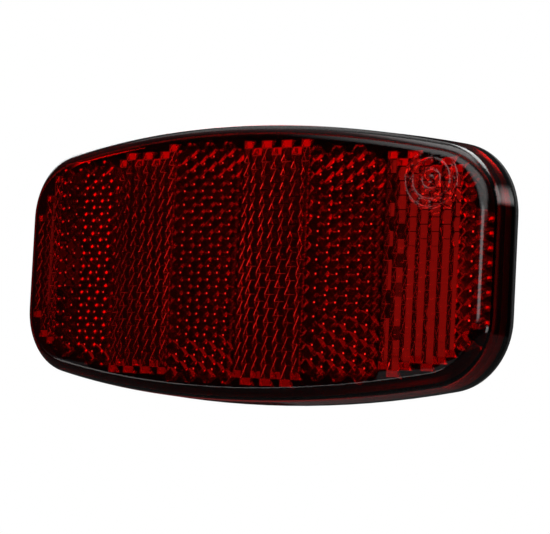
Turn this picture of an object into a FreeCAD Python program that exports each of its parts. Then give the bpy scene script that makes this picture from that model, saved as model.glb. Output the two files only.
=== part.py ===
"""Rack reflector: a red prism lens welded to a back cover that carries two mounting studs.

Millimetres. The lens faces -Y, +Z is up, and the studs leave along +Y. The origin lies midway
between the studs, on the faces of the two pads that meet the rack plate.
"""
import FreeCAD, Part
import math
import os
from FreeCAD import Vector

# Outline of the reflector, seen from the front
width = 100.0
height = 47.7
bow_radius = 216.0
corner_radius = 12.0

# Section of the lens
crest_depth = 10.7
face_radius = 365.0
edge_round = 2.5
edge_strips = 6
front_inset = 0.4
face_thickness = 2.0
skirt_thickness = 1.3

# Back cover
flange_thickness = 1.0
flange_chamfer = 0.3
plug_depth = 1.7
seat_clearance = 0.15
panel_inset = 5.0
panel_depth = 0.6
pad_height = 0.8
pad_radius = 6.5

# Studs
stud_spacing = 80.0
stud_radius = 2.5
stud_reach = 10.0
stud_chamfer = 0.7
head_across_flats = 8.0
head_thickness = 1.3
neck_across_flats = 5.6
stud_clearance = 0.05

# Prism field on the inside of the face
prism_pitch = 2.35
prism_base_rise = 0.25
prism_sink = 0.5
zone_columns = 7
zone_seam = 0.9
field_edge_margin = 2.6
field_end_margin = 1.9
zone_clearance = 0.12

# Places that follow from the sizes
cover_back_y = -pad_height
rim_y = cover_back_y - flange_thickness
crest_y = cover_back_y - crest_depth
face_axis_y = crest_y + face_radius
draft_slope = front_inset / (rim_y - crest_y)
column_pitch = prism_pitch * math.sqrt(3) / 2
hexagon_radius = prism_pitch / math.sqrt(3)
cube_step = prism_pitch / math.sqrt(6)
roof_step = prism_pitch / 4
roof_height = prism_pitch / 2
floor_radius = face_radius - face_thickness
zone_width = zone_columns * column_pitch

corner_x = width / 2 - corner_radius
bow_centre_z = height / 2 - bow_radius
corner_z = bow_centre_z + math.sqrt((bow_radius - corner_radius) ** 2 - corner_x ** 2)


def outline(inset, y):
    """Barrel-shaped wire in the plane at y: bowed long edges, round corners, straight ends."""
    bow = bow_radius - inset
    corner = corner_radius - inset
    end_x = width / 2 - inset
    tilt = math.atan2(corner_x, corner_z - bow_centre_z)
    tangent = (bow * math.sin(tilt), bow_centre_z + bow * math.cos(tilt))
    middle_angle = (math.pi / 2 - tilt) / 2
    corner_middle = (corner_x + corner * math.cos(middle_angle), corner_z + corner * math.sin(middle_angle))
    top = bow_centre_z + bow

    def point(x, z):
        return Vector(x, y, z)

    def arc(first, middle, last):
        return Part.Arc(point(*first), point(*middle), point(*last)).toShape()

    def line(first, last):
        return Part.LineSegment(point(*first), point(*last)).toShape()

    def flip(place, sign_x, sign_z):
        return (sign_x * place[0], sign_z * place[1])

    end = (end_x, corner_z)
    return Part.Wire([
        arc(flip(tangent, -1, 1), (0, top), tangent),
        arc(tangent, corner_middle, end),
        line(end, flip(end, 1, -1)),
        arc(flip(end, 1, -1), flip(corner_middle, 1, -1), flip(tangent, 1, -1)),
        arc(flip(tangent, 1, -1), (0, -top), flip(tangent, -1, -1)),
        arc(flip(tangent, -1, -1), flip(corner_middle, -1, -1), flip(end, -1, -1)),
        line(flip(end, -1, -1), flip(end, -1, 1)),
        arc(flip(end, -1, 1), flip(corner_middle, -1, 1), flip(tangent, -1, 1)),
    ])


def half_height(x, inset):
    """Half the height at x of the outline drawn in by inset."""
    from_middle = abs(x)
    if from_middle > corner_x:
        return corner_z + math.sqrt(max((corner_radius - inset) ** 2 - (from_middle - corner_x) ** 2, 0))
    return bow_centre_z + math.sqrt((bow_radius - inset) ** 2 - from_middle ** 2)


def drafted_block(inset, front_y):
    """Solid inside the outline, from the rim forward, narrowing towards the front by the draft."""
    narrower = inset + (rim_y - front_y) * draft_slope
    return Part.makeLoft([outline(inset, rim_y), outline(narrower, front_y)], True, True)


def draped_outline(inset, back):
    """Outline that follows the curved face at a set distance behind it."""
    points_per_edge = 9
    edges = []
    for flat in outline(inset, 0).Edges:
        places = [
            Vector(p.x, face_axis_y - math.sqrt(face_radius ** 2 - p.x ** 2) + back, p.z)
            for p in flat.discretize(points_per_edge)
        ]
        if abs(places[0].x - places[-1].x) < 1e-6:
            edges.append(Part.LineSegment(places[0], places[-1]).toShape())
        else:
            curve = Part.BSplineCurve()
            curve.interpolate(places)
            edges.append(curve.toShape())
    return Part.Wire(edges)


def curved_front():
    """Cylindrical front face, as far as the start of the rounded edge."""
    inset = front_inset + edge_round
    block = Part.Face(outline(inset, rim_y)).extrude(Vector(0, crest_y - face_thickness - rim_y, 0))
    cylinder = Part.makeCylinder(face_radius, 2 * height, Vector(0, face_axis_y, -height), Vector(0, 0, 1))
    block = block.common(cylinder)
    return max((f for f in block.Faces if isinstance(f.Surface, Part.Cylinder)), key=lambda f: f.Area)


def lens_outside():
    """Full block of the lens: curved front, rounded edge lofted in narrow strips, drafted sides."""
    front = curved_front()
    rings = [front.OuterWire]
    for strip in range(1, edge_strips + 1):
        turn = math.pi / 2 * strip / edge_strips
        inward = front_inset + edge_round * (1 - math.sin(turn))
        rings.append(draped_outline(inward, edge_round * (1 - math.cos(turn))))
    rim = outline(0, rim_y)
    sides = Part.makeLoft(rings + [rim], False, True)
    return sewn_solid(sides.Faces + [front, Part.Face(rim)])


def zone_middle(zone):
    """Arc length of the middle of a prism zone from the middle of the lens."""
    return zone_seam + (zone + 0.5) * zone_width


def floor_block():
    """Block whose front is the lens floor: flat strips, one to a zone, that touch the floor radius."""
    most = int(width / 2 / zone_width) + 1
    seam_radius = floor_radius / math.cos(zone_width / 2 / floor_radius)
    corners = [Vector(most * zone_width, 0, -height), Vector(-most * zone_width, 0, -height)]
    for zone in range(-most, most + 1):
        angle = (zone_middle(zone) - zone_width / 2) / floor_radius
        seam_y = face_axis_y - seam_radius * math.cos(angle)
        corners.append(Vector(seam_radius * math.sin(angle), seam_y, -height))
    return facet(corners).extrude(Vector(0, 0, 2 * height))


def lens_blank():
    """Lens without its prisms: curved face, rounded edge and skirt."""
    pocket = drafted_block(skirt_thickness, crest_y).common(floor_block())
    return lens_outside().cut(pocket)


def facet(places):
    """Flat face through the given corners."""
    return Part.Face(Part.makePolygon(places + places[:1]))


def sewn_solid(faces):
    """Closed solid from faces that share their edges."""
    shell = Part.makeShell(faces)
    shell.sewShape()
    solid = Part.makeSolid(Part.Shell(shell.Faces))
    if solid.Volume < 0:
        solid.reverse()
    return solid


def zone_frame(arc_length):
    """Place on the lens floor from (across, up, out), flat against the floor at this arc length."""
    angle = arc_length / floor_radius

    def place(across, up, out):
        return Vector(
            floor_radius * math.sin(angle) + across * math.cos(angle) - out * math.sin(angle),
            face_axis_y - floor_radius * math.cos(angle) + across * math.sin(angle) + out * math.cos(angle),
            up,
        )

    return place


def column_limit(x):
    """How far up the prisms of the column at x may reach."""
    edge = min(abs(x) + column_pitch / 2, width / 2)
    return min(half_height(edge, 0) - field_edge_margin, half_height(edge, field_end_margin))


def cube_block(place, columns):
    """Block of straight cube corners on a hexagonal grid.

    Each column is (across, limit, offset) with cells a pitch apart, offset up or down by a quarter.
    """
    low = prism_base_rise
    middle = low + cube_step
    apex = middle + cube_step
    cells = []
    for across, limit, offset in columns:
        reach = int(limit / prism_pitch) + 1
        for row in range(-reach, reach + 1):
            up = offset + row * prism_pitch
            if abs(up) + prism_pitch / 2 <= limit:
                cells.append((across, up))

    def corner(cell, index):
        angle = math.radians(60 * index)
        rise = middle if index % 2 == 0 else low
        return (cell[0] + hexagon_radius * math.cos(angle), cell[1] + hexagon_radius * math.sin(angle), rise)

    def has_neighbour(cell, index):
        angle = math.radians(60 * index + 30)
        across = cell[0] + prism_pitch * math.cos(angle)
        up = cell[1] + prism_pitch * math.sin(angle)
        return any(math.hypot(across - c[0], up - c[1]) < prism_pitch / 4 for c in cells)

    faces = []
    border = {}
    for cell in cells:
        tip = (cell[0], cell[1], apex)
        for index in (0, 2, 4):
            sides = [corner(cell, index + step) for step in range(3)]
            faces.append(facet([place(*p) for p in [tip] + sides]))
        for index in range(6):
            if not has_neighbour(cell, index):
                first = corner(cell, index)
                last = corner(cell, index + 1)
                border[(round(first[0], 2), round(first[1], 2))] = (first, last)

    start = next(iter(border))
    loop = []
    key = start
    while not loop or key != start:
        first, last = border[key]
        loop.append(place(first[0], first[1], -prism_sink))
        faces.append(facet([
            place(*first), place(*last), place(last[0], last[1], -prism_sink), loop[-1],
        ]))
        key = (round(last[0], 2), round(last[1], 2))
    faces.append(facet(loop))
    return sewn_solid(faces)


def roof_columns(place, columns):
    """Columns of wide-angle prisms: small roofs with level ridges, neighbours half a pitch apart.

    Each column is (left, right, limit, quarter) with its ridges at quarter + 4 n quarter pitches.
    Every second column stands a ridge higher, so that its roofs clear those beside it.
    """
    solids = []
    for left, right, limit, quarter in columns:
        reach = int(limit / roof_step)
        valleys = [step for step in range(-reach, reach + 1) if (step - quarter) % 4 == 2]
        profile = [place(left, valleys[0] * roof_step, -prism_sink)]
        for step in range(valleys[0], valleys[-1] + 1, 2):
            is_ridge = (step - quarter) % 4 == 0
            out = prism_base_rise + roof_height * (is_ridge + (quarter > 0))
            profile.append(place(left, step * roof_step, out))
        profile.append(place(left, valleys[-1] * roof_step, -prism_sink))
        solids.append(facet(profile).extrude(place(right, 0, 0) - place(left, 0, 0)))
    return solids


def column_centre(index):
    """Arc length of a prism column from the middle of the lens."""
    return zone_seam + (index + 0.5) * column_pitch


def quarter_shift(index):
    """Even columns sit a quarter pitch up, odd ones a quarter pitch down."""
    return 1 if index % 2 == 0 else -1


def cube_zone(zone, indices):
    """Prisms of a zone that sends light straight back."""
    middle = zone_middle(zone)
    columns = [
        (column_centre(i) - middle, column_limit(column_centre(i)), quarter_shift(i) * roof_step)
        for i in indices
    ]
    return [cube_block(zone_frame(middle), columns)]


def roof_zone(zone, indices):
    """Prisms of a zone that sends light back from the side."""
    middle = zone_middle(zone)
    relief = hexagon_radius - column_pitch / 2 + zone_clearance
    columns = []
    for i in indices:
        left = column_centre(i) - column_pitch / 2 - middle
        right = left + column_pitch
        if i % zone_columns == 0:
            left += relief
        if i % zone_columns == zone_columns - 1:
            right -= relief
        columns.append((left, right, column_limit(column_centre(i)), quarter_shift(i)))
    return roof_columns(zone_frame(middle), columns)


def prism_field():
    """All prisms, in zones of alternating kind across the lens."""
    field_half = width / 2 - field_end_margin
    most = int(field_half / column_pitch) + 1
    zones = {}
    for index in range(-most, most + 1):
        zone = index // zone_columns
        reach = hexagon_radius if zone % 2 else column_pitch / 2
        if abs(column_centre(index)) + reach <= field_half:
            zones.setdefault(zone, []).append(index)
    solids = []
    for zone, indices in zones.items():
        solids += cube_zone(zone, indices) if zone % 2 else roof_zone(zone, indices)
    return solids


def lens():
    """Red lens with its prisms."""
    return lens_blank().fuse(prism_field())


def hexagon_prism(across_flats, x, start_y, length):
    """Hexagonal bar along +Y with a flat on top."""
    radius = across_flats / math.sqrt(3)
    corners = [
        Vector(x + radius * math.cos(math.radians(60 * i)), start_y, radius * math.sin(math.radians(60 * i)))
        for i in range(6)
    ]
    return facet(corners).extrude(Vector(0, length, 0))


def square_bar(across_flats, x, start_y, end_y):
    """Square bar along +Y."""
    corner = Vector(x - across_flats / 2, start_y, -across_flats / 2)
    return Part.makeBox(across_flats, end_y - start_y, across_flats, corner)


def round_bar(radius, x, start_y, end_y):
    """Round bar along +Y."""
    return Part.makeCylinder(radius, end_y - start_y, Vector(x, start_y, 0), Vector(0, 1, 0))


stud_places = (-stud_spacing / 2, stud_spacing / 2)
plug_front_y = rim_y - plug_depth
head_seat_y = plug_front_y + head_thickness


def back_cover():
    """Black cover: flange under the rim, plug inside the skirt, and pads pierced for the studs."""
    flange = Part.Face(outline(0, rim_y)).extrude(Vector(0, flange_thickness, 0))
    back_edges = [e for e in flange.Edges if all(abs(v.Y - cover_back_y) < 1e-6 for v in e.Vertexes)]
    flange = flange.makeChamfer(flange_chamfer, back_edges)
    plug = drafted_block(skirt_thickness + seat_clearance, plug_front_y)
    panel_floor_y = cover_back_y - panel_depth
    panel = Part.Face(outline(panel_inset, panel_floor_y)).extrude(Vector(0, panel_depth, 0))
    cover = flange.fuse(plug).cut(panel)
    for x in stud_places:
        cover = cover.fuse(round_bar(pad_radius, x, panel_floor_y, 0))
    for x in stud_places:
        pocket = hexagon_prism(head_across_flats + 2 * stud_clearance, x, plug_front_y, head_thickness)
        hole = square_bar(neck_across_flats + 2 * stud_clearance, x, head_seat_y, 0)
        cover = cover.cut([pocket, hole])
    return cover.removeSplitter()


def mounting_stud(x):
    """Stud with a hexagon head that the cover traps, a square neck in the pad, and a chamfered tip."""
    head = hexagon_prism(head_across_flats, x, plug_front_y, head_thickness)
    neck = square_bar(neck_across_flats, x, head_seat_y, 0)
    shank = round_bar(stud_radius, x, 0, stud_reach)
    tip = [e for e in shank.Edges if all(abs(v.Y - stud_reach) < 1e-6 for v in e.Vertexes)]
    return head.fuse([neck, shank.makeChamfer(stud_chamfer, tip)])


def main():
    os.makedirs("parts", exist_ok=True)
    lens().exportStep("parts/lens.step")
    back_cover().exportStep("parts/back_cover.step")
    Part.makeCompound([mounting_stud(x) for x in stud_places]).exportStep("parts/mounting_studs.step")


main()
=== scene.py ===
"""Rack reflector, dressed: a red prism lens, a black back cover and two zinc-plated studs.

Shapes are worked out in millimetres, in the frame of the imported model, and made in metres.
"""
import math
import random
import bmesh
import bpy
from mathutils import Matrix, Vector
from mathutils.geometry import delaunay_2d_cdt


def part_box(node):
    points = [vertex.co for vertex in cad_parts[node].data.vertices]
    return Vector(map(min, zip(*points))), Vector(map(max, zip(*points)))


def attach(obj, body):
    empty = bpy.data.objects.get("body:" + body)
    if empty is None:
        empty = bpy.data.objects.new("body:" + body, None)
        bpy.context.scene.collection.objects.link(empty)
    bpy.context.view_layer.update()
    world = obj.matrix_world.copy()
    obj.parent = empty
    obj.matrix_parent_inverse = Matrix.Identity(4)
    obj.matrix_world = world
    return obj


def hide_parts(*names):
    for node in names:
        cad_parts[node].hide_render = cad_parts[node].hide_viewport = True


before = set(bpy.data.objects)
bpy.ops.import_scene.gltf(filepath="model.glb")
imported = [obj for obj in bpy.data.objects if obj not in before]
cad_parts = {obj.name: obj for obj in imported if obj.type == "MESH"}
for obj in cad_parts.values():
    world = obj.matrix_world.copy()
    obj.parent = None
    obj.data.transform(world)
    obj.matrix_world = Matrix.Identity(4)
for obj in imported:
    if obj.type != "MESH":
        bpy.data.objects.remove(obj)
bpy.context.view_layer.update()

MM = 0.001
lens_low, lens_high = (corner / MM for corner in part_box("lens"))
stud_low, stud_high = (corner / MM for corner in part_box("mounting_studs"))

# Outline of the lens, seen from the front
width = lens_high.x - lens_low.x
height = lens_high.z - lens_low.z
bow_radius = 216.0
corner_radius = 12.0
bow_steps = 72
corner_steps = 22
end_steps = 10

# Section of the lens
crest_y = lens_low.y
rim_y = lens_high.y
face_radius = 365.0
edge_round = 2.5
edge_steps = 12
side_steps = 6
front_inset = 0.4
face_thickness = 2.0
skirt_thickness = 1.3
face_grid = 2.0
face_grid_margin = 0.6 * face_grid

# Prism field on the inside of the face
prism_pitch = 2.35
prism_base_rise = 0.25
zone_columns = 7
zone_seam = 0.9
field_edge_margin = 2.6
field_end_margin = 1.9
zone_clearance = 0.12
prism_unevenness = 0.012
fine_edge_round = 0.02
roof_edge_round = 0.07
edge_round_segments = 3
roof_draft = math.radians(1)

# Pips on the lands where three cubes meet
cubes_at_pip = 3
pip_land = 0.5
pip_land_angles = (60, 180, 300)
pip_half_length = 0.19
pip_half_width = 0.165
pip_turn = math.radians(5.5)

# Moulded dial on the front face
dial_x = 38.5
dial_z = 13.55
dial_radius = 4.6
dial_inner_radius = 3.3
dial_disc_radius = 1.6
dial_bump_radius = 0.7
dial_ring_half_width = 0.16
dial_pips = 12
dial_pip_half_length = 0.4
dial_pip_share = 0.9
dial_tick_half_length = 0.6
dial_tick_share = 0.6
dial_spoke_sharpness = 16
dial_rise = 0.08
dial_border = 0.6
dial_gap = 0.4 * face_grid
dial_rings = 104
dial_fineness = 1.6

# Studs
stud_spacing = 80.0
stud_radius = 2.5
thread_pitch = 0.8
thread_depth = 0.42
thread_start = 1.6
thread_crest_share = 0.15
thread_flank_share = 0.6
tip_chamfer = 0.7
neck_across_flats = 5.6
head_across_flats = 8.0
head_thickness = 1.3
thread_rows = 16
thread_sides = 48

# Making of the meshes
triangle_tolerance = 1e-6
weld_distance = 0.002
sharp_angle = math.radians(28)
key_scale = 100
key_shift = 0.3

# Places that follow from the sizes
draft_slope = front_inset / (rim_y - crest_y)
face_axis_y = crest_y + face_radius
floor_radius = face_radius - face_thickness
column_pitch = prism_pitch * math.sqrt(3) / 2
hexagon_radius = prism_pitch / math.sqrt(3)
cube_step = prism_pitch / math.sqrt(6)
quarter_pitch = prism_pitch / 4
stud_reach = stud_high.y
head_front_y = stud_low.y
corner_x = width / 2 - corner_radius
bow_centre_z = height / 2 - bow_radius
corner_z = bow_centre_z + math.sqrt((bow_radius - corner_radius) ** 2 - corner_x ** 2)
bow_tilt = math.atan2(corner_x, corner_z - bow_centre_z)

# Red acrylic; noise scales are per metre and bump depths in metres, here and below
acrylic_red = (0.85, 0.011, 0.007, 1.0)
acrylic_roughness = 0.02
acrylic_ior = 1.49
scratch_scale = (60, 60, 2600)
scratch_lies = ((0.6, 1.0), (-0.35, 1.3))
scratch_detail = 1.0
scratch_noise = (0.72, 0.76)
scratch_strength = 0.05
scratch_depth = 0.00002
dust_scale = 1800.0
dust_detail = 2.0
dust_noise = (0.66, 0.78)
dust_roughness = (0.012, 0.2)

# Black plastic
cover_level = 0.025
cover_gloss = 0.5
# The faces behind the lens get a darker, less glossy copy of the black: painted shade
inside_shade_level = 0.004
inside_shade_gloss = 0.1
inside_facing = -0.3
black_blue_share = 1.05
grain_scale = 2600.0
grain_detail = 3.0
grain_strength = 0.25
grain_depth = 0.0002
plastic_roughness = (0.38, 0.55)

# Zinc plating
shank_level = 0.62
# The heads are far darker than the plating: painted shade, so they don't show through the lens
head_shade_level = 0.06
plate_green_share = 1.01
plate_blue_share = 1.04
cloud_scale = 700.0
cloud_detail = 4.0
plate_roughness = (0.22, 0.42)
middle_noise = (0.3, 0.7)

# Camera of the photograph, from the prism grid and the outline; its offset is in millimetres
photo_width_px = 550
focal_px = 2140.7
sensor_mm = 36.0
near_clip = 0.01
camera_yaw = math.radians(-36.96)
camera_pitch = math.radians(-3.53)
camera_roll = math.radians(2.96)
camera_offset = Vector((-7.95, 361.3, 0.90))
camera_right = Vector((1, 0, 0))
camera_up = Vector((0, 0, 1))
camera_back = Vector((0, -1, 0))

# Studio, in metres and degrees; room levels run from straight down (0) to straight up (1)
lamp_distance = 0.9
soft_edge = 0.3
lamp_middle = 0.5
backdrop_place = (174, 4)
backdrop_reach = (22, 32)
backdrop_share = 0.15
floor_level = -0.06
floor_size = 0.24
floor_sides = 96
floor_fade = 0.19
floor_share = 0.22
paper_colour = (0.8, 0.8, 0.8, 1)
dim_colour = (0.04, 0.04, 0.04, 1)
white_colour = (1, 1, 1, 1)
room_levels = (
    (0.0, 0.3), (0.12, 0.25), (0.22, 0.03), (0.4, 0.008),
    (0.6, 0.008), (0.82, 0.05), (0.9, 0.2), (1.0, 0.35),
)

# Light paths through the prisms are long
most_bounces = 32
glass_bounces = 24


def outline(inset):
    """Points (x, z) round the barrel-shaped outline, drawn in by inset, clockwise from the top left."""
    bow = bow_radius - inset
    corner = corner_radius - inset
    end_x = width / 2 - inset
    turn = math.pi

    def arc(x, z, radius, start, end, steps):
        angles = (start + (end - start) * i / steps for i in range(steps))
        return [(x + radius * math.sin(a), z + radius * math.cos(a)) for a in angles]

    def end_line(x, start_z):
        return [(x, start_z - 2 * start_z * i / end_steps) for i in range(end_steps)]

    return (
        arc(0, bow_centre_z, bow, -bow_tilt, bow_tilt, bow_steps)
        + arc(corner_x, corner_z, corner, bow_tilt, turn / 2, corner_steps)
        + end_line(end_x, corner_z)
        + arc(corner_x, -corner_z, corner, turn / 2, turn - bow_tilt, corner_steps)
        + arc(0, -bow_centre_z, bow, turn - bow_tilt, turn + bow_tilt, bow_steps)
        + arc(-corner_x, -corner_z, corner, turn + bow_tilt, turn * 3 / 2, corner_steps)
        + end_line(-end_x, -corner_z)
        + arc(-corner_x, corner_z, corner, turn * 3 / 2, turn * 2 - bow_tilt, corner_steps)
    )


def half_height(x, inset):
    """Half the height at x of the outline drawn in by inset."""
    from_middle = abs(x)
    if from_middle > corner_x:
        return corner_z + math.sqrt(max((corner_radius - inset) ** 2 - (from_middle - corner_x) ** 2, 0))
    return bow_centre_z + math.sqrt((bow_radius - inset) ** 2 - from_middle ** 2)


def face_y(x):
    """Depth of the curved front face at x."""
    return face_axis_y - math.sqrt(face_radius ** 2 - x ** 2)


def seen_flat(ring):
    """Ring of 3-D points as (x, z), seen from the front."""
    return [(point[0], point[2]) for point in ring]


def inside(point, polygon):
    """Whether a point lies inside a polygon, both in (x, z)."""
    x, z = point
    within = False
    for (x1, z1), (x2, z2) in zip(polygon, polygon[1:] + polygon[:1]):
        if (z1 > z) != (z2 > z) and x < x1 + (z - z1) / (z2 - z1) * (x2 - x1):
            within = not within
    return within


def triangulate(loops, extra, keep):
    """Triangles between closed loops and extra points, all 3-D, flat in (x, z); keep picks by centre."""
    points = [p for loop in loops for p in loop] + extra
    edges = []
    for loop in loops:
        first = len(edges)
        edges += [(first + i, first + (i + 1) % len(loop)) for i in range(len(loop))]
    flat = [Vector(place) for place in seen_flat(points)]
    places, _, faces, origins, _, _ = delaunay_2d_cdt(flat, edges, [], 0, triangle_tolerance)
    triangles = []
    for face in faces:
        centre = sum((places[i] for i in face), Vector((0, 0))) / len(face)
        if keep(tuple(centre)):
            triangles.append([points[origins[i][0]] for i in face])
    return triangles


def dial_height(x, z):
    """Rise of the dial above the front face: three rings, pips and ticks between them, a centre bump."""
    across = x - dial_x
    up = z - dial_z
    radius = math.hypot(across, up)
    ring_radii = (dial_radius, dial_inner_radius, dial_disc_radius)

    def ridge(distance, half_width):
        return max(0.0, 1 - (distance / half_width) ** 2)

    spoke = math.cos(math.atan2(up, across) * dial_pips / 2) ** dial_spoke_sharpness
    pip = spoke * ridge(radius - (dial_radius + dial_inner_radius) / 2, dial_pip_half_length)
    tick = spoke * ridge(radius - (dial_inner_radius + dial_disc_radius) / 2, dial_tick_half_length)
    rings = max(ridge(radius - ring, dial_ring_half_width) for ring in ring_radii)
    bump = ridge(radius, dial_bump_radius)
    return dial_rise * max(rings, dial_pip_share * pip, dial_tick_share * tick, bump)


def front_faces(edge_ring):
    """Fine triangles of the curved front face, with the dial raised on it."""
    border = seen_flat(edge_ring)
    clear = outline(front_inset + edge_round + face_grid_margin)
    fine_radius = dial_radius + dial_border
    spots = []
    for i in range(int(width / face_grid) + 1):
        for j in range(int(height / face_grid) + 1):
            x = -width / 2 + i * face_grid
            z = -height / 2 + j * face_grid
            if inside((x, z), clear) and math.hypot(x - dial_x, z - dial_z) > fine_radius + dial_gap:
                spots.append((x, z))
    for k in range(1, dial_rings + 1):
        radius = fine_radius * k / dial_rings
        around = dial_pips * max(1, round(radius * dial_fineness))
        for i in range(around):
            angle = 2 * math.pi * i / around
            spots.append((dial_x + radius * math.cos(angle), dial_z + radius * math.sin(angle)))
    spots.append((dial_x, dial_z))
    extra = [(x, face_y(x) - dial_height(x, z), z) for x, z in spots]
    return triangulate([edge_ring], extra, lambda centre: inside(centre, border))


def strip(ring_a, ring_b):
    """Quads between two closed rings with as many points."""
    count = len(ring_a)
    return [
        [ring_a[i], ring_a[(i + 1) % count], ring_b[(i + 1) % count], ring_b[i]]
        for i in range(count)
    ]


def floor_point(arc, up, out):
    """Place on the lens floor: arc length from the middle, height, and distance in from the floor."""
    angle = arc / floor_radius
    radius = floor_radius - out
    return (radius * math.sin(angle), face_axis_y - radius * math.cos(angle), up)


def floor_y(x):
    """Depth of the curved lens floor at x."""
    return face_axis_y - math.sqrt(floor_radius ** 2 - x ** 2)


def floor_ring():
    """Ring where the inner wall of the skirt meets the floor."""
    ring = []
    start = outline(skirt_thickness)
    deeper = outline(skirt_thickness + draft_slope * (rim_y - floor_y(0)))
    for (x1, z1), (x2, z2) in zip(start, deeper):
        share = (rim_y - floor_y(x2)) / (rim_y - floor_y(0))
        x = x1 + (x2 - x1) * share
        ring.append((x, floor_y(x), z1 + (z2 - z1) * share))
    return ring


def column_centre(index):
    """Arc length of a prism column from the middle of the lens."""
    return zone_seam + (index + 0.5) * column_pitch


def column_limit(index):
    """How far up the prisms of a column may reach."""
    edge = min(abs(column_centre(index)) + column_pitch / 2, width / 2)
    return min(half_height(edge, 0) - field_edge_margin, half_height(edge, field_end_margin))


def column_shift(index):
    """Even columns sit a quarter pitch up, odd ones a quarter pitch down."""
    return quarter_pitch if index % 2 == 0 else -quarter_pitch


def pip_faces(across, up, rise):
    """Small roof-shaped pip on a flat land, where three cubes meet at their lowest point."""
    tips = []
    for degrees in pip_land_angles:
        angle = math.radians(degrees)
        tips.append((across + pip_land * math.cos(angle), up + pip_land * math.sin(angle), rise))
    along_x = pip_half_length * math.cos(pip_turn)
    along_z = pip_half_length * math.sin(pip_turn)
    wide_x = -pip_half_width * math.sin(pip_turn)
    wide_z = pip_half_width * math.cos(pip_turn)
    foot = [(across + i * along_x + j * wide_x, up + i * along_z + j * wide_z, rise)
            for i, j in ((1, 1), (-1, 1), (-1, -1), (1, -1))]
    ridge = [(across + i * along_x, up + i * along_z, rise + pip_half_width) for i in (1, -1)]
    return [
        [foot[0], foot[1], ridge[1], ridge[0]],
        [foot[2], foot[3], ridge[0], ridge[1]],
        [foot[1], foot[2], ridge[1]],
        [foot[3], foot[0], ridge[0]],
        [tips[0], foot[1], foot[0]],
        [tips[0], tips[1], foot[1]],
        [tips[1], foot[2], foot[1]],
        [tips[1], tips[2], foot[2]],
        [tips[2], foot[3], foot[2]],
        [tips[2], foot[0], foot[3]],
        [tips[2], tips[0], foot[0]],
    ]


def place_key(corner):
    """Rounded place of a corner on the floor, to compare corners by."""
    return tuple(round(value * key_scale + key_shift) for value in corner[:2])


def cube_cells(indices):
    """Straight cube corners: each cell is its footprint with heights, and its faces."""
    low = prism_base_rise
    middle = low + cube_step
    apex = middle + cube_step
    share = pip_land / hexagon_radius
    hexagons = []
    owners = {}
    for index in indices:
        across = column_centre(index)
        limit = column_limit(index)
        reach = int(limit / prism_pitch) + 1
        for row in range(-reach, reach + 1):
            up = column_shift(index) + row * prism_pitch
            if abs(up) + prism_pitch / 2 > limit:
                continue
            corners = []
            for i in range(6):
                angle = math.radians(60 * i)
                rise = middle if i % 2 == 0 else low
                corners.append((across + hexagon_radius * math.cos(angle),
                                up + hexagon_radius * math.sin(angle), rise))
            for corner in corners[1::2]:
                owners[place_key(corner)] = owners.get(place_key(corner), 0) + 1
            hexagons.append(((across, up, apex), corners))
    cells = []
    made = set()
    for tip, corners in hexagons:
        faces = []
        for i in (0, 2, 4):
            before, lowest, after = (corners[(i + step) % 6] for step in range(3))
            if owners[place_key(lowest)] < cubes_at_pip:
                faces.append([tip, before, lowest, after])
                continue
            near, far = ([a + (b - a) * share for a, b in zip(lowest, end)] for end in (before, after))
            faces.append([tip, before, near, far, after])
            if place_key(lowest) not in made:
                made.add(place_key(lowest))
                faces += pip_faces(lowest[0], lowest[1], near[2])
        cells.append((corners, faces))
    return cells


def roof_cells(indices):
    """Wide-angle prisms: columns of small roofs, cut upright at the last ridge, with drafted sides."""
    chance = random.Random(indices[0])
    relief = hexagon_radius - column_pitch / 2 + zone_clearance
    half_pitch = prism_pitch / 2
    low = prism_base_rise
    recess = half_pitch * math.tan(roof_draft)
    cells = []
    for index in indices:
        left = column_centre(index) - column_pitch / 2
        right = left + column_pitch
        if index % zone_columns == 0:
            left += relief
        if index % zone_columns == zone_columns - 1:
            right -= relief
        shift = column_shift(index)
        reach = int((column_limit(index) - half_pitch - abs(shift)) / prism_pitch) + 1
        rows = [row for row in range(-reach, reach + 1)
                if abs(shift + row * prism_pitch) + half_pitch <= column_limit(index)]
        twists = [chance.uniform(-prism_unevenness, prism_unevenness) for _ in range(len(rows) + 1)]
        for place, row in enumerate(rows):
            valley = shift + row * prism_pitch
            for side in (-1, 1):
                top = valley + side * half_pitch
                twist = twists[place + (side + 1) // 2]
                ridge_left = (left + recess, top, low + half_pitch - twist)
                ridge_right = (right - recess, top, low + half_pitch + twist)
                corners = [(left, valley, low), (right, valley, low), (right, top, low), (left, top, low)]
                faces = [
                    [corners[0], corners[1], ridge_right, ridge_left],
                    [corners[0], ridge_left, corners[3]],
                    [corners[1], corners[2], ridge_right],
                ]
                if not 0 <= place + side < len(rows):
                    faces.append([corners[3], ridge_left, ridge_right, corners[2]])
                cells.append((corners[::side], faces))
    return cells


def zone_faces(cells):
    """Faces of a prism zone, with walls round it down to the floor; and its outline on the floor."""
    faces = []
    owners = {}
    for corners, tops in cells:
        faces += tops
        for first, last in zip(corners, corners[1:] + corners[:1]):
            owners.setdefault(frozenset((place_key(first), place_key(last))), []).append((first, last))
    border = {}
    for sides in owners.values():
        if len(sides) == 1:
            first, last = sides[0]
            border[place_key(first)] = (first, last)
            faces.append([first, last, (last[0], last[1], 0), (first[0], first[1], 0)])
    loop = []
    at = next(iter(border))
    while len(loop) < len(border):
        first, last = border[at]
        loop.append(floor_point(first[0], first[1], 0))
        at = place_key(last)
    return [[floor_point(*corner) for corner in face] for face in faces], loop


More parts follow.
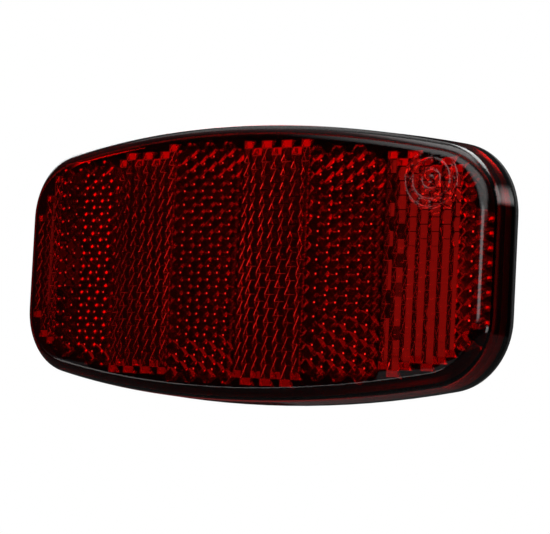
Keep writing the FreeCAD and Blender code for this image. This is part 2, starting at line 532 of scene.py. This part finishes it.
def prism_field():
    """Faces of all the prism zones, and their outlines on the floor."""
    field_half = width / 2 - field_end_margin
    most = int(field_half / column_pitch) + 1
    zones = {}
    for index in range(-most, most + 1):
        zone = index // zone_columns
        reach = hexagon_radius if zone % 2 else column_pitch / 2
        if abs(column_centre(index)) + reach <= field_half:
            zones.setdefault(zone, []).append(index)
    faces = []
    loops = []
    for zone, indices in zones.items():
        cells = cube_cells(indices) if zone % 2 else roof_cells(indices)
        more, loop = zone_faces(cells)
        faces += more
        loops.append(loop)
    return faces, loops


def prism_rise(vertex):
    """Height of a vertex of the lens above the floor, in millimetres."""
    x, y, _ = vertex.co / MM
    return floor_radius - math.hypot(x, y - face_axis_y)


def round_prisms(bm):
    """Round the edges of the cubes and the ridges a little, and those at the sides of the roofs more."""
    fine_edges = []
    roof_edges = []
    for edge in bm.edges:
        low, high = sorted(prism_rise(vertex) for vertex in edge.verts)
        if low < prism_base_rise / 2 or edge.calc_face_angle() < sharp_angle:
            continue
        x = (edge.verts[0].co.x + edge.verts[1].co.x) / 2 / MM
        arc = floor_radius * math.asin(x / floor_radius)
        if int((arc - zone_seam) // (column_pitch * zone_columns)) % 2:
            if edge.calc_length() > pip_land * MM:
                fine_edges.append(edge)
        elif high - low > quarter_pitch:
            roof_edges.append(edge)
        elif low > quarter_pitch:
            fine_edges.append(edge)
    for edges, size in ((roof_edges, roof_edge_round), (fine_edges, fine_edge_round)):
        bmesh.ops.bevel(
            bm, geom=[edge for edge in edges if edge.is_valid], offset=size * MM, offset_type="OFFSET",
            segments=edge_round_segments, profile=0.5, affect="EDGES", clamp_overlap=False,
        )


def mesh_object(name, groups, prisms=False):
    """Object from groups of faces, each (faces, smooth, material); prism edges are rounded if asked."""
    bm = bmesh.new()
    materials = []
    for faces, smooth, material in groups:
        if material not in materials:
            materials.append(material)
        for corners in faces:
            face = bm.faces.new([bm.verts.new(Vector(corner) * MM) for corner in corners])
            face.smooth = smooth
            face.material_index = materials.index(material)
    bmesh.ops.remove_doubles(bm, verts=bm.verts, dist=weld_distance * MM)
    bmesh.ops.recalc_face_normals(bm, faces=bm.faces)
    if prisms:
        round_prisms(bm)
    for edge in bm.edges:
        if len(edge.link_faces) == 2 and edge.calc_face_angle() > sharp_angle:
            edge.smooth = False
    mesh = bpy.data.meshes.new(name)
    bm.to_mesh(mesh)
    bm.free()
    for material in materials:
        mesh.materials.append(material)
    piece = bpy.data.objects.new(name, mesh)
    bpy.context.scene.collection.objects.link(piece)
    return piece


def lens_mesh(skin, optics):
    """Closed lens: front face with its dial, rounded edge, skirt, floor and prisms."""
    rings = []
    for step in range(edge_steps + 1):
        turn = math.pi / 2 * step / edge_steps
        inset = front_inset + edge_round * (1 - math.sin(turn))
        back = edge_round * (1 - math.cos(turn))
        rings.append([(x, face_y(x) + back, z) for x, z in outline(inset)])
    rim = [(x, rim_y, z) for x, z in outline(0)]
    edge_end = rings[-1]
    for step in range(1, side_steps + 1):
        share = step / side_steps
        rings.append([
            tuple(a + (b - a) * share for a, b in zip(start, end))
            for start, end in zip(edge_end, rim)
        ])
    outside = front_faces(rings[0])
    for ring_a, ring_b in zip(rings, rings[1:]):
        outside += strip(ring_a, ring_b)
    inner_rim = [(x, rim_y, z) for x, z in outline(skirt_thickness)]
    floor = floor_ring()
    prisms, loops = prism_field()
    floor_border = seen_flat(floor)
    holes = [seen_flat(loop) for loop in loops]

    def on_land(centre):
        return inside(centre, floor_border) and not any(inside(centre, hole) for hole in holes)

    land = triangulate([floor] + loops, [], on_land)
    return mesh_object("lens_dressed", [
        (outside, True, skin),
        (strip(rings[-1], inner_rim), False, optics),
        (strip(inner_rim, floor), True, optics),
        (land, False, optics),
        (prisms, False, optics),
    ], prisms=True)


def thread_radius(y, turn):
    """Radius of a stud at depth y and at a turn (1 for once round): a plain start, a thread, a chamfer."""
    place = ((y - thread_start) / thread_pitch - turn) % 1
    cut = min(max((abs(2 * place - 1) - thread_crest_share) / thread_flank_share, 0), 1)
    depth = thread_depth * cut * min(max((y - thread_start) / thread_pitch, 0), 1)
    return min(stud_radius - depth, stud_radius - tip_chamfer + stud_reach - y)


def ring_of(x, y, radii):
    """Ring of points round a stud's axis, with a radius for each."""
    count = len(radii)
    turns = [2 * math.pi * i / count for i in range(count)]
    return [(x + r * math.cos(t), y, r * math.sin(t)) for r, t in zip(radii, turns)]


def stud_faces(x):
    """Faces of one stud: hexagon head, square neck, threaded shank; and the ring pairs of its two steps."""
    head = [head_across_flats / math.sqrt(3)] * 6
    head_back_y = head_front_y + head_thickness
    half = neck_across_flats / 2
    neck = [(half, half), (-half, half), (-half, -half), (half, -half)]
    front_ring = ring_of(x, head_front_y, head)
    back_ring = ring_of(x, head_back_y, head)
    neck_front = [(x + i, head_back_y, j) for i, j in neck]
    neck_back = [(x + i, 0, j) for i, j in neck]
    rows = round(stud_reach / thread_pitch * thread_rows)
    rings = []
    for row in range(rows + 1):
        y = stud_reach * row / rows
        rings.append(ring_of(x, y, [thread_radius(y, i / thread_sides) for i in range(thread_sides)]))
    head_faces = [front_ring] + strip(front_ring, back_ring)
    neck_faces = strip(neck_front, neck_back)
    shank_faces = [rings[-1]]
    for ring_a, ring_b in zip(rings, rings[1:]):
        shank_faces += strip(ring_a, ring_b)
    steps = ((back_ring, neck_front), (neck_back, rings[0]))
    return head_faces, neck_faces, shank_faces, steps


def studs_mesh(plate, dark):
    """Both studs, threaded, their heads darkened as painted shade."""
    heads = []
    shanks = []
    for x in (-stud_spacing / 2, stud_spacing / 2):
        head, neck, shank, steps = stud_faces(x)
        heads += head
        shanks += neck + shank
        for outer, inner in steps:
            hole = seen_flat(inner)
            border = seen_flat(outer)
            shanks += triangulate([outer, inner], [], lambda c: inside(c, border) and not inside(c, hole))
    return mesh_object("studs_threaded", [(heads, False, dark), (shanks, True, plate)])


def node(tree, kind, **values):
    """Shader node with its values set, by property or by input name."""
    made = tree.nodes.new(kind)
    for name, value in values.items():
        if hasattr(made, name):
            setattr(made, name, value)
        else:
            made.inputs[name.replace("_", " ")].default_value = value
    return made


def ramp(tree, stops):
    """Colour ramp through grey stops, each (position, level)."""
    made = tree.nodes.new("ShaderNodeValToRGB")
    elements = made.color_ramp.elements
    while len(elements) < len(stops):
        elements.new(0.5)
    for element, (position, level) in zip(elements, stops):
        element.position = position
        element.color = (level, level, level, 1)
    return made


def new_material(name):
    """Material with an empty tree, a Principled shader and its output."""
    material = bpy.data.materials.new(name)
    material.use_nodes = True
    tree = material.node_tree
    tree.nodes.clear()
    shader = tree.nodes.new("ShaderNodeBsdfPrincipled")
    output = tree.nodes.new("ShaderNodeOutputMaterial")
    tree.links.new(shader.outputs[0], output.inputs["Surface"])
    return material, tree, shader


def uneven_roughness(tree, shader, scale, detail, noise, roughness):
    """Roughness that goes between two values as a noise goes between two; returns the noise."""
    where = tree.nodes.new("ShaderNodeTexCoord")
    texture = node(tree, "ShaderNodeTexNoise", Scale=scale, Detail=detail)
    rough = node(tree, "ShaderNodeMapRange", From_Min=noise[0], From_Max=noise[1],
                 To_Min=roughness[0], To_Max=roughness[1])
    tree.links.new(where.outputs["Object"], texture.inputs["Vector"])
    tree.links.new(texture.outputs[0], rough.inputs[0])
    tree.links.new(rough.outputs[0], shader.inputs["Roughness"])
    return texture


def clear_red(name):
    """Clear red acrylic."""
    material, tree, shader = new_material(name)
    shader.inputs["Base Color"].default_value = acrylic_red
    shader.inputs["Transmission Weight"].default_value = 1.0
    shader.inputs["Roughness"].default_value = acrylic_roughness
    shader.inputs["IOR"].default_value = acrylic_ior
    return material, tree, shader


def handled_face(tree, shader):
    """Fine scratches and a little dust on the face of the lens."""
    where = tree.nodes.new("ShaderNodeTexCoord")
    bumps = []
    for angle, growth in scratch_lies:
        stretch = [growth * scale for scale in scratch_scale]
        lie = node(tree, "ShaderNodeMapping", Rotation=(0, angle, 0), Scale=stretch)
        lines = node(tree, "ShaderNodeTexNoise", Scale=1.0, Detail=scratch_detail)
        thin = node(tree, "ShaderNodeMapRange", From_Min=scratch_noise[0], From_Max=scratch_noise[1])
        bump = node(tree, "ShaderNodeBump", Strength=scratch_strength, Distance=scratch_depth)
        tree.links.new(where.outputs["Object"], lie.inputs[0])
        tree.links.new(lie.outputs[0], lines.inputs["Vector"])
        tree.links.new(lines.outputs[0], thin.inputs[0])
        tree.links.new(thin.outputs[0], bump.inputs["Height"])
        if bumps:
            tree.links.new(bumps[-1].outputs[0], bump.inputs["Normal"])
        bumps.append(bump)
    tree.links.new(bumps[-1].outputs[0], shader.inputs["Normal"])
    uneven_roughness(tree, shader, dust_scale, dust_detail, dust_noise, dust_roughness)


def black_plastic(name, level, gloss):
    """Black moulded plastic with a fine grain."""
    material, tree, shader = new_material(name)
    shader.inputs["Base Color"].default_value = (level, level, level * black_blue_share, 1)
    shader.inputs["Specular IOR Level"].default_value = gloss
    grain = uneven_roughness(tree, shader, grain_scale, grain_detail, middle_noise, plastic_roughness)
    bump = node(tree, "ShaderNodeBump", Strength=grain_strength, Distance=grain_depth)
    tree.links.new(grain.outputs[0], bump.inputs["Height"])
    tree.links.new(bump.outputs[0], shader.inputs["Normal"])
    return material


def dress_cover(piece):
    """Grained black on the cover, with a darker, less glossy copy of it on the faces behind the lens as
    painted shade.
    """
    mesh = piece.data
    mesh.materials.clear()
    mesh.materials.append(black_plastic("black_plastic_grain", cover_level, cover_gloss))
    # Painted shade: a darker copy of the black for the faces behind the lens
    mesh.materials.append(black_plastic("black_plastic_painted_shade", inside_shade_level, inside_shade_gloss))
    turn = piece.matrix_world.to_3x3()
    for face in mesh.polygons:
        face.material_index = 1 if (turn @ face.normal).y < inside_facing else 0


def zinc_plate(name, level):
    """Zinc plating on steel, at a grey level."""
    material, tree, shader = new_material(name)
    shader.inputs["Base Color"].default_value = (
        level, level * plate_green_share, level * plate_blue_share, 1)
    shader.inputs["Metallic"].default_value = 1.0
    uneven_roughness(tree, shader, cloud_scale, cloud_detail, middle_noise, plate_roughness)
    return material


def place_camera():
    """Camera of the photograph: turned about the crest of the lens, then set back."""
    turn = (
        Matrix.Rotation(camera_roll, 3, "Y")
        @ Matrix.Rotation(camera_pitch, 3, "X")
        @ Matrix.Rotation(camera_yaw, 3, "Z")
    )
    back = turn.transposed()
    eye = -(back @ camera_offset) + Vector((0, crest_y, 0))
    data = bpy.data.cameras.new("photo_camera")
    data.sensor_width = sensor_mm
    data.lens = focal_px * sensor_mm / photo_width_px
    data.clip_start = near_clip
    camera = bpy.data.objects.new("photo_camera", data)
    axes = Matrix([back @ axis for axis in (camera_right, camera_up, camera_back)]).transposed()
    camera.matrix_world = Matrix.Translation(eye * MM) @ axes.to_4x4()
    bpy.context.scene.collection.objects.link(camera)
    bpy.context.scene.camera = camera


def direction(azimuth, elevation):
    """Unit vector towards a place round the object, in degrees; azimuth 0 is in front."""
    a = math.radians(azimuth)
    e = math.radians(elevation)
    return Vector((math.sin(a) * math.cos(e), -math.cos(a) * math.cos(e), math.sin(e)))


def soft_lamp(name, azimuth, elevation, size, brightness):
    """Rectangular lamp that faces the object, in degrees; brightness is its radiance, 1 for white."""
    side_x, side_y = (2 * lamp_distance * math.tan(math.radians(angle / 2)) for angle in size)
    data = bpy.data.lights.new(name, "AREA")
    data.shape = "RECTANGLE"
    data.size = side_x
    data.size_y = side_y
    data.energy = brightness * math.pi * side_x * side_y
    lamp = bpy.data.objects.new(name, data)
    towards = direction(azimuth, elevation)
    lamp.location = towards * lamp_distance
    lamp.rotation_euler = towards.to_track_quat("Z", "Y").to_euler()
    lamp.visible_camera = False
    bpy.context.scene.collection.objects.link(lamp)
    return lamp


def soft_box(name, azimuth, elevation, size, brightness):
    """Lamp whose light fades towards its edges, so that its reflection has no hard outline."""
    grown = [angle / (1 - soft_edge) for angle in size]
    lamp = soft_lamp(name, azimuth, elevation, grown, brightness)
    lamp.data.use_nodes = True
    tree = lamp.data.node_tree
    emission = tree.nodes["Emission"]
    place = tree.nodes.new("ShaderNodeNewGeometry")
    split = tree.nodes.new("ShaderNodeSeparateXYZ")
    product = node(tree, "ShaderNodeMath", operation="MULTIPLY")
    tree.links.new(place.outputs["Parametric"], split.inputs[0])
    for i in range(2):
        fold = node(tree, "ShaderNodeMath", operation="PINGPONG")
        fold.inputs[1].default_value = lamp_middle
        fade = node(tree, "ShaderNodeMapRange", interpolation_type="SMOOTHSTEP", From_Max=soft_edge)
        tree.links.new(split.outputs[i], fold.inputs[0])
        tree.links.new(fold.outputs[0], fade.inputs[0])
        tree.links.new(fade.outputs[0], product.inputs[i])
    tree.links.new(product.outputs[0], emission.inputs["Strength"])


def fill_lamp(name, azimuth, elevation, size, brightness):
    """Lamp that brings plain surfaces near the level they are written at; metal and glass don't show it."""
    lamp = soft_lamp(name, azimuth, elevation, size, brightness)
    lamp.visible_glossy = False
    lamp.visible_transmission = False


def white_world():
    """White all round to the camera; to metal and glass, a dim room with a faint backdrop behind."""
    world = bpy.data.worlds.new("studio")
    bpy.context.scene.world = world
    world.use_nodes = True
    tree = world.node_tree
    tree.nodes.clear()
    output = tree.nodes.new("ShaderNodeOutputWorld")
    path = tree.nodes.new("ShaderNodeLightPath")
    where = tree.nodes.new("ShaderNodeTexCoord")
    split = tree.nodes.new("ShaderNodeSeparateXYZ")
    share = node(tree, "ShaderNodeMapRange", From_Min=-1.0, From_Max=1.0)
    levels = ramp(tree, room_levels)
    room = tree.nodes.new("ShaderNodeBackground")
    white = node(tree, "ShaderNodeBackground", Color=white_colour, Strength=1.0)
    mix = tree.nodes.new("ShaderNodeMixShader")
    tree.links.new(where.outputs["Generated"], split.inputs[0])
    tree.links.new(split.outputs["Z"], share.inputs[0])
    tree.links.new(share.outputs[0], levels.inputs[0])
    tree.links.new(levels.outputs[0], room.inputs["Color"])

    full_within, none_past = (math.cos(math.radians(angle)) for angle in backdrop_reach)
    behind = node(tree, "ShaderNodeVectorMath", operation="DOT_PRODUCT")
    behind.inputs[1].default_value = direction(*backdrop_place)
    fade = node(tree, "ShaderNodeMapRange", From_Min=none_past, From_Max=full_within, To_Max=backdrop_share)
    mirrored = node(tree, "ShaderNodeMath", operation="ADD")
    backed = node(tree, "ShaderNodeMath", operation="MULTIPLY")
    shown = node(tree, "ShaderNodeMath", operation="MAXIMUM")
    tree.links.new(where.outputs["Generated"], behind.inputs[0])
    tree.links.new(behind.outputs["Value"], fade.inputs[0])
    tree.links.new(path.outputs["Is Glossy Ray"], mirrored.inputs[0])
    tree.links.new(path.outputs["Is Transmission Ray"], mirrored.inputs[1])
    tree.links.new(mirrored.outputs[0], backed.inputs[0])
    tree.links.new(fade.outputs[0], backed.inputs[1])
    tree.links.new(path.outputs["Is Camera Ray"], shown.inputs[0])
    tree.links.new(backed.outputs[0], shown.inputs[1])
    tree.links.new(shown.outputs[0], mix.inputs[0])
    tree.links.new(room.outputs[0], mix.inputs[1])
    tree.links.new(white.outputs[0], mix.inputs[2])
    tree.links.new(mix.outputs[0], output.inputs["Surface"])


def pale_floor():
    """Round pale floor, white towards its edge; fainter through the lens and dark in reflections."""
    bm = bmesh.new()
    bmesh.ops.create_circle(bm, cap_ends=True, segments=floor_sides, radius=floor_size)
    mesh = bpy.data.meshes.new("floor")
    bm.to_mesh(mesh)
    bm.free()
    floor = bpy.data.objects.new("floor", mesh)
    floor.location.z = floor_level
    bpy.context.scene.collection.objects.link(floor)
    material = bpy.data.materials.new("floor_paper")
    material.use_nodes = True
    tree = material.node_tree
    tree.nodes.clear()
    output = tree.nodes.new("ShaderNodeOutputMaterial")
    path = tree.nodes.new("ShaderNodeLightPath")
    where = tree.nodes.new("ShaderNodeTexCoord")
    spread = node(tree, "ShaderNodeMapping", Scale=(1 / floor_fade, 1 / floor_fade, 1 / floor_fade))
    radial = node(tree, "ShaderNodeTexGradient", gradient_type="SPHERICAL")
    ease = node(tree, "ShaderNodeMapRange", interpolation_type="SMOOTHSTEP", To_Min=1.0, To_Max=0.0)
    paper = node(tree, "ShaderNodeBsdfDiffuse", Color=paper_colour)
    dim = node(tree, "ShaderNodeBsdfDiffuse", Color=dim_colour)
    white = node(tree, "ShaderNodeEmission", Color=white_colour, Strength=1.0)
    seen = tree.nodes.new("ShaderNodeMixShader")
    mix = tree.nodes.new("ShaderNodeMixShader")
    through = node(tree, "ShaderNodeMath", operation="MULTIPLY_ADD")
    through.inputs[1].default_value = floor_share
    tree.links.new(where.outputs["Object"], spread.inputs[0])
    tree.links.new(spread.outputs[0], radial.inputs[0])
    tree.links.new(radial.outputs[1], ease.inputs[0])
    tree.links.new(ease.outputs[0], seen.inputs[0])
    tree.links.new(paper.outputs[0], seen.inputs[1])
    tree.links.new(white.outputs[0], seen.inputs[2])
    tree.links.new(path.outputs["Is Transmission Ray"], through.inputs[0])
    tree.links.new(path.outputs["Is Camera Ray"], through.inputs[2])
    tree.links.new(through.outputs[0], mix.inputs[0])
    tree.links.new(dim.outputs[0], mix.inputs[1])
    tree.links.new(seen.outputs[0], mix.inputs[2])
    tree.links.new(mix.outputs[0], output.inputs["Surface"])
    mesh.materials.append(material)


def light_up():
    """Lamps round the object, each with its azimuth, elevation, (width, height) and brightness."""
    soft_box("front_box", 12, 33, (60, 26), 2.0)
    soft_box("front_low_box", 20, 13, (40, 12), 1.5)
    soft_box("front_small_box", 16, 4.5, (18, 8), 2.8)
    soft_lamp("front_right_card", 29.5, -3.5, (3.5, 8), 0.2)
    soft_lamp("right_low_box", 77, -12, (16, 10), 3.0)
    soft_lamp("left_front_card", -15, -5, (14, 6), 0.22)
    soft_lamp("left_low_box", -36, -10.7, (48, 6.4), 1.6)
    soft_lamp("left_card", -58, -5, (10, 5), 0.12)
    soft_box("top_box", 20, 82, (40, 30), 2.6)
    soft_lamp("top_left_box", -120, 54, (44, 22), 0.5)
    soft_box("back_box", 160, 60, (40, 20), 6.0)
    soft_box("back_left_box", -125, 24, (30, 16), 2.5)
    soft_box("back_right_box", 125, 24, (30, 16), 2.5)
    fill_lamp("front_fill", 10, 2, (60, 30), 2.8)
    fill_lamp("back_fill", 180, 2, (60, 30), 3.1)


def main():
    """Dress the three pieces and set the camera, the surroundings and the lamps."""
    scene = bpy.context.scene
    scene.view_settings.view_transform = "Standard"
    scene.cycles.max_bounces = most_bounces
    scene.cycles.glossy_bounces = glass_bounces
    scene.cycles.transmission_bounces = glass_bounces
    skin, skin_tree, skin_shader = clear_red("red_acrylic_face")
    handled_face(skin_tree, skin_shader)
    optics, _, _ = clear_red("red_acrylic_prisms")
    lens = lens_mesh(skin, optics)
    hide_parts("lens")
    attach(lens, "root")
    plate = zinc_plate("zinc_plate_bright", shank_level)
    # Near-black head plating: painted shade
    dark = zinc_plate("zinc_plate_painted_shade", head_shade_level)
    studs = studs_mesh(plate, dark)
    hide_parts("mounting_studs")
    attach(studs, "root")
    dress_cover(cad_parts["back_cover"])
    place_camera()
    white_world()
    pale_floor()
    light_up()


main()
